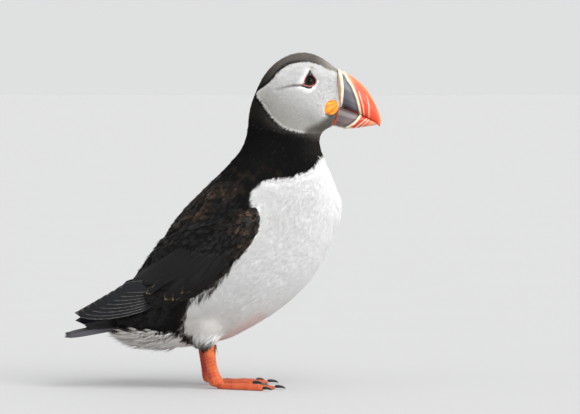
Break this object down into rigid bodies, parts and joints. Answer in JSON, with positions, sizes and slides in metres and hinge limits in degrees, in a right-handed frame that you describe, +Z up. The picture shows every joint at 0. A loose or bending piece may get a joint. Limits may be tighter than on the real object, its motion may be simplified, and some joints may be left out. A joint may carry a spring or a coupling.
{
  "type": "atlantic puffin model",
  "caption": "Life-size still model of a standing Atlantic puffin in summer plumage, folded wings, deep ridged bill and webbed feet, for display.",
  "frame": {"origin": "on the floor, under the middle of the model's length and width", "axes": "+X the way the bird faces, +Y its left side, +Z up"},
  "size_m": [0.2114, 0.0954, 0.2245],
  "materials": {
    "plumage_head": "very short dense feathers like velvet: pale grey cheeks under a dark grey-brown cap",
    "plumage_dark": "black overlapping feathers with faint brown fringes",
    "plumage_white": "dense soft white feathers, with a black mantle above and black flanks behind",
    "flight_feathers": "stiff dark grey feathers with paler edges and shafts, slight sheen",
    "bill_horn": "smooth ridged horn, slate at the base and orange-red in front, satin",
    "bill_cere": "raised finely pitted cream band, satin",
    "gape_skin": "wrinkled yellow-orange bare skin",
    "eyes": "wet and glossy, dark brown iris, round pupil, red rim",
    "eye_plates": "blue-grey horny skin, satin",
    "leg_skin": "orange scaly skin, with thin webs between the toes",
    "claws": "black horn, satin"
  },
  "bodies": {
    "root": {"head": "plumage_head", "neck": "plumage_dark", "trunk": "plumage_white", "thigh_right": "plumage_white", "thigh_left": "plumage_white", "wing_right": "plumage_dark", "wing_left": "plumage_dark", "primaries_right": "flight_feathers", "primaries_left": "flight_feathers", "tail": "flight_feathers", "bill_upper": "bill_horn", "bill_lower": "bill_horn", "bill_cere": "bill_cere", "gape_rosette_right": "gape_skin", "gape_rosette_left": "gape_skin", "eye_right": "eyes", "eye_left": "eyes", "eye_plate_upper_right": "eye_plates", "eye_plate_upper_left": "eye_plates", "eye_plate_lower_right": "eye_plates", "eye_plate_lower_left": "eye_plates", "shank_right": "leg_skin", "shank_left": "leg_skin", "foot_right": "leg_skin", "foot_left": "leg_skin", "claw_inner_right": "claws", "claw_middle_right": "claws", "claw_outer_right": "claws", "claw_inner_left": "claws", "claw_middle_left": "claws", "claw_outer_left": "claws"}
  },
  "joints": []
}
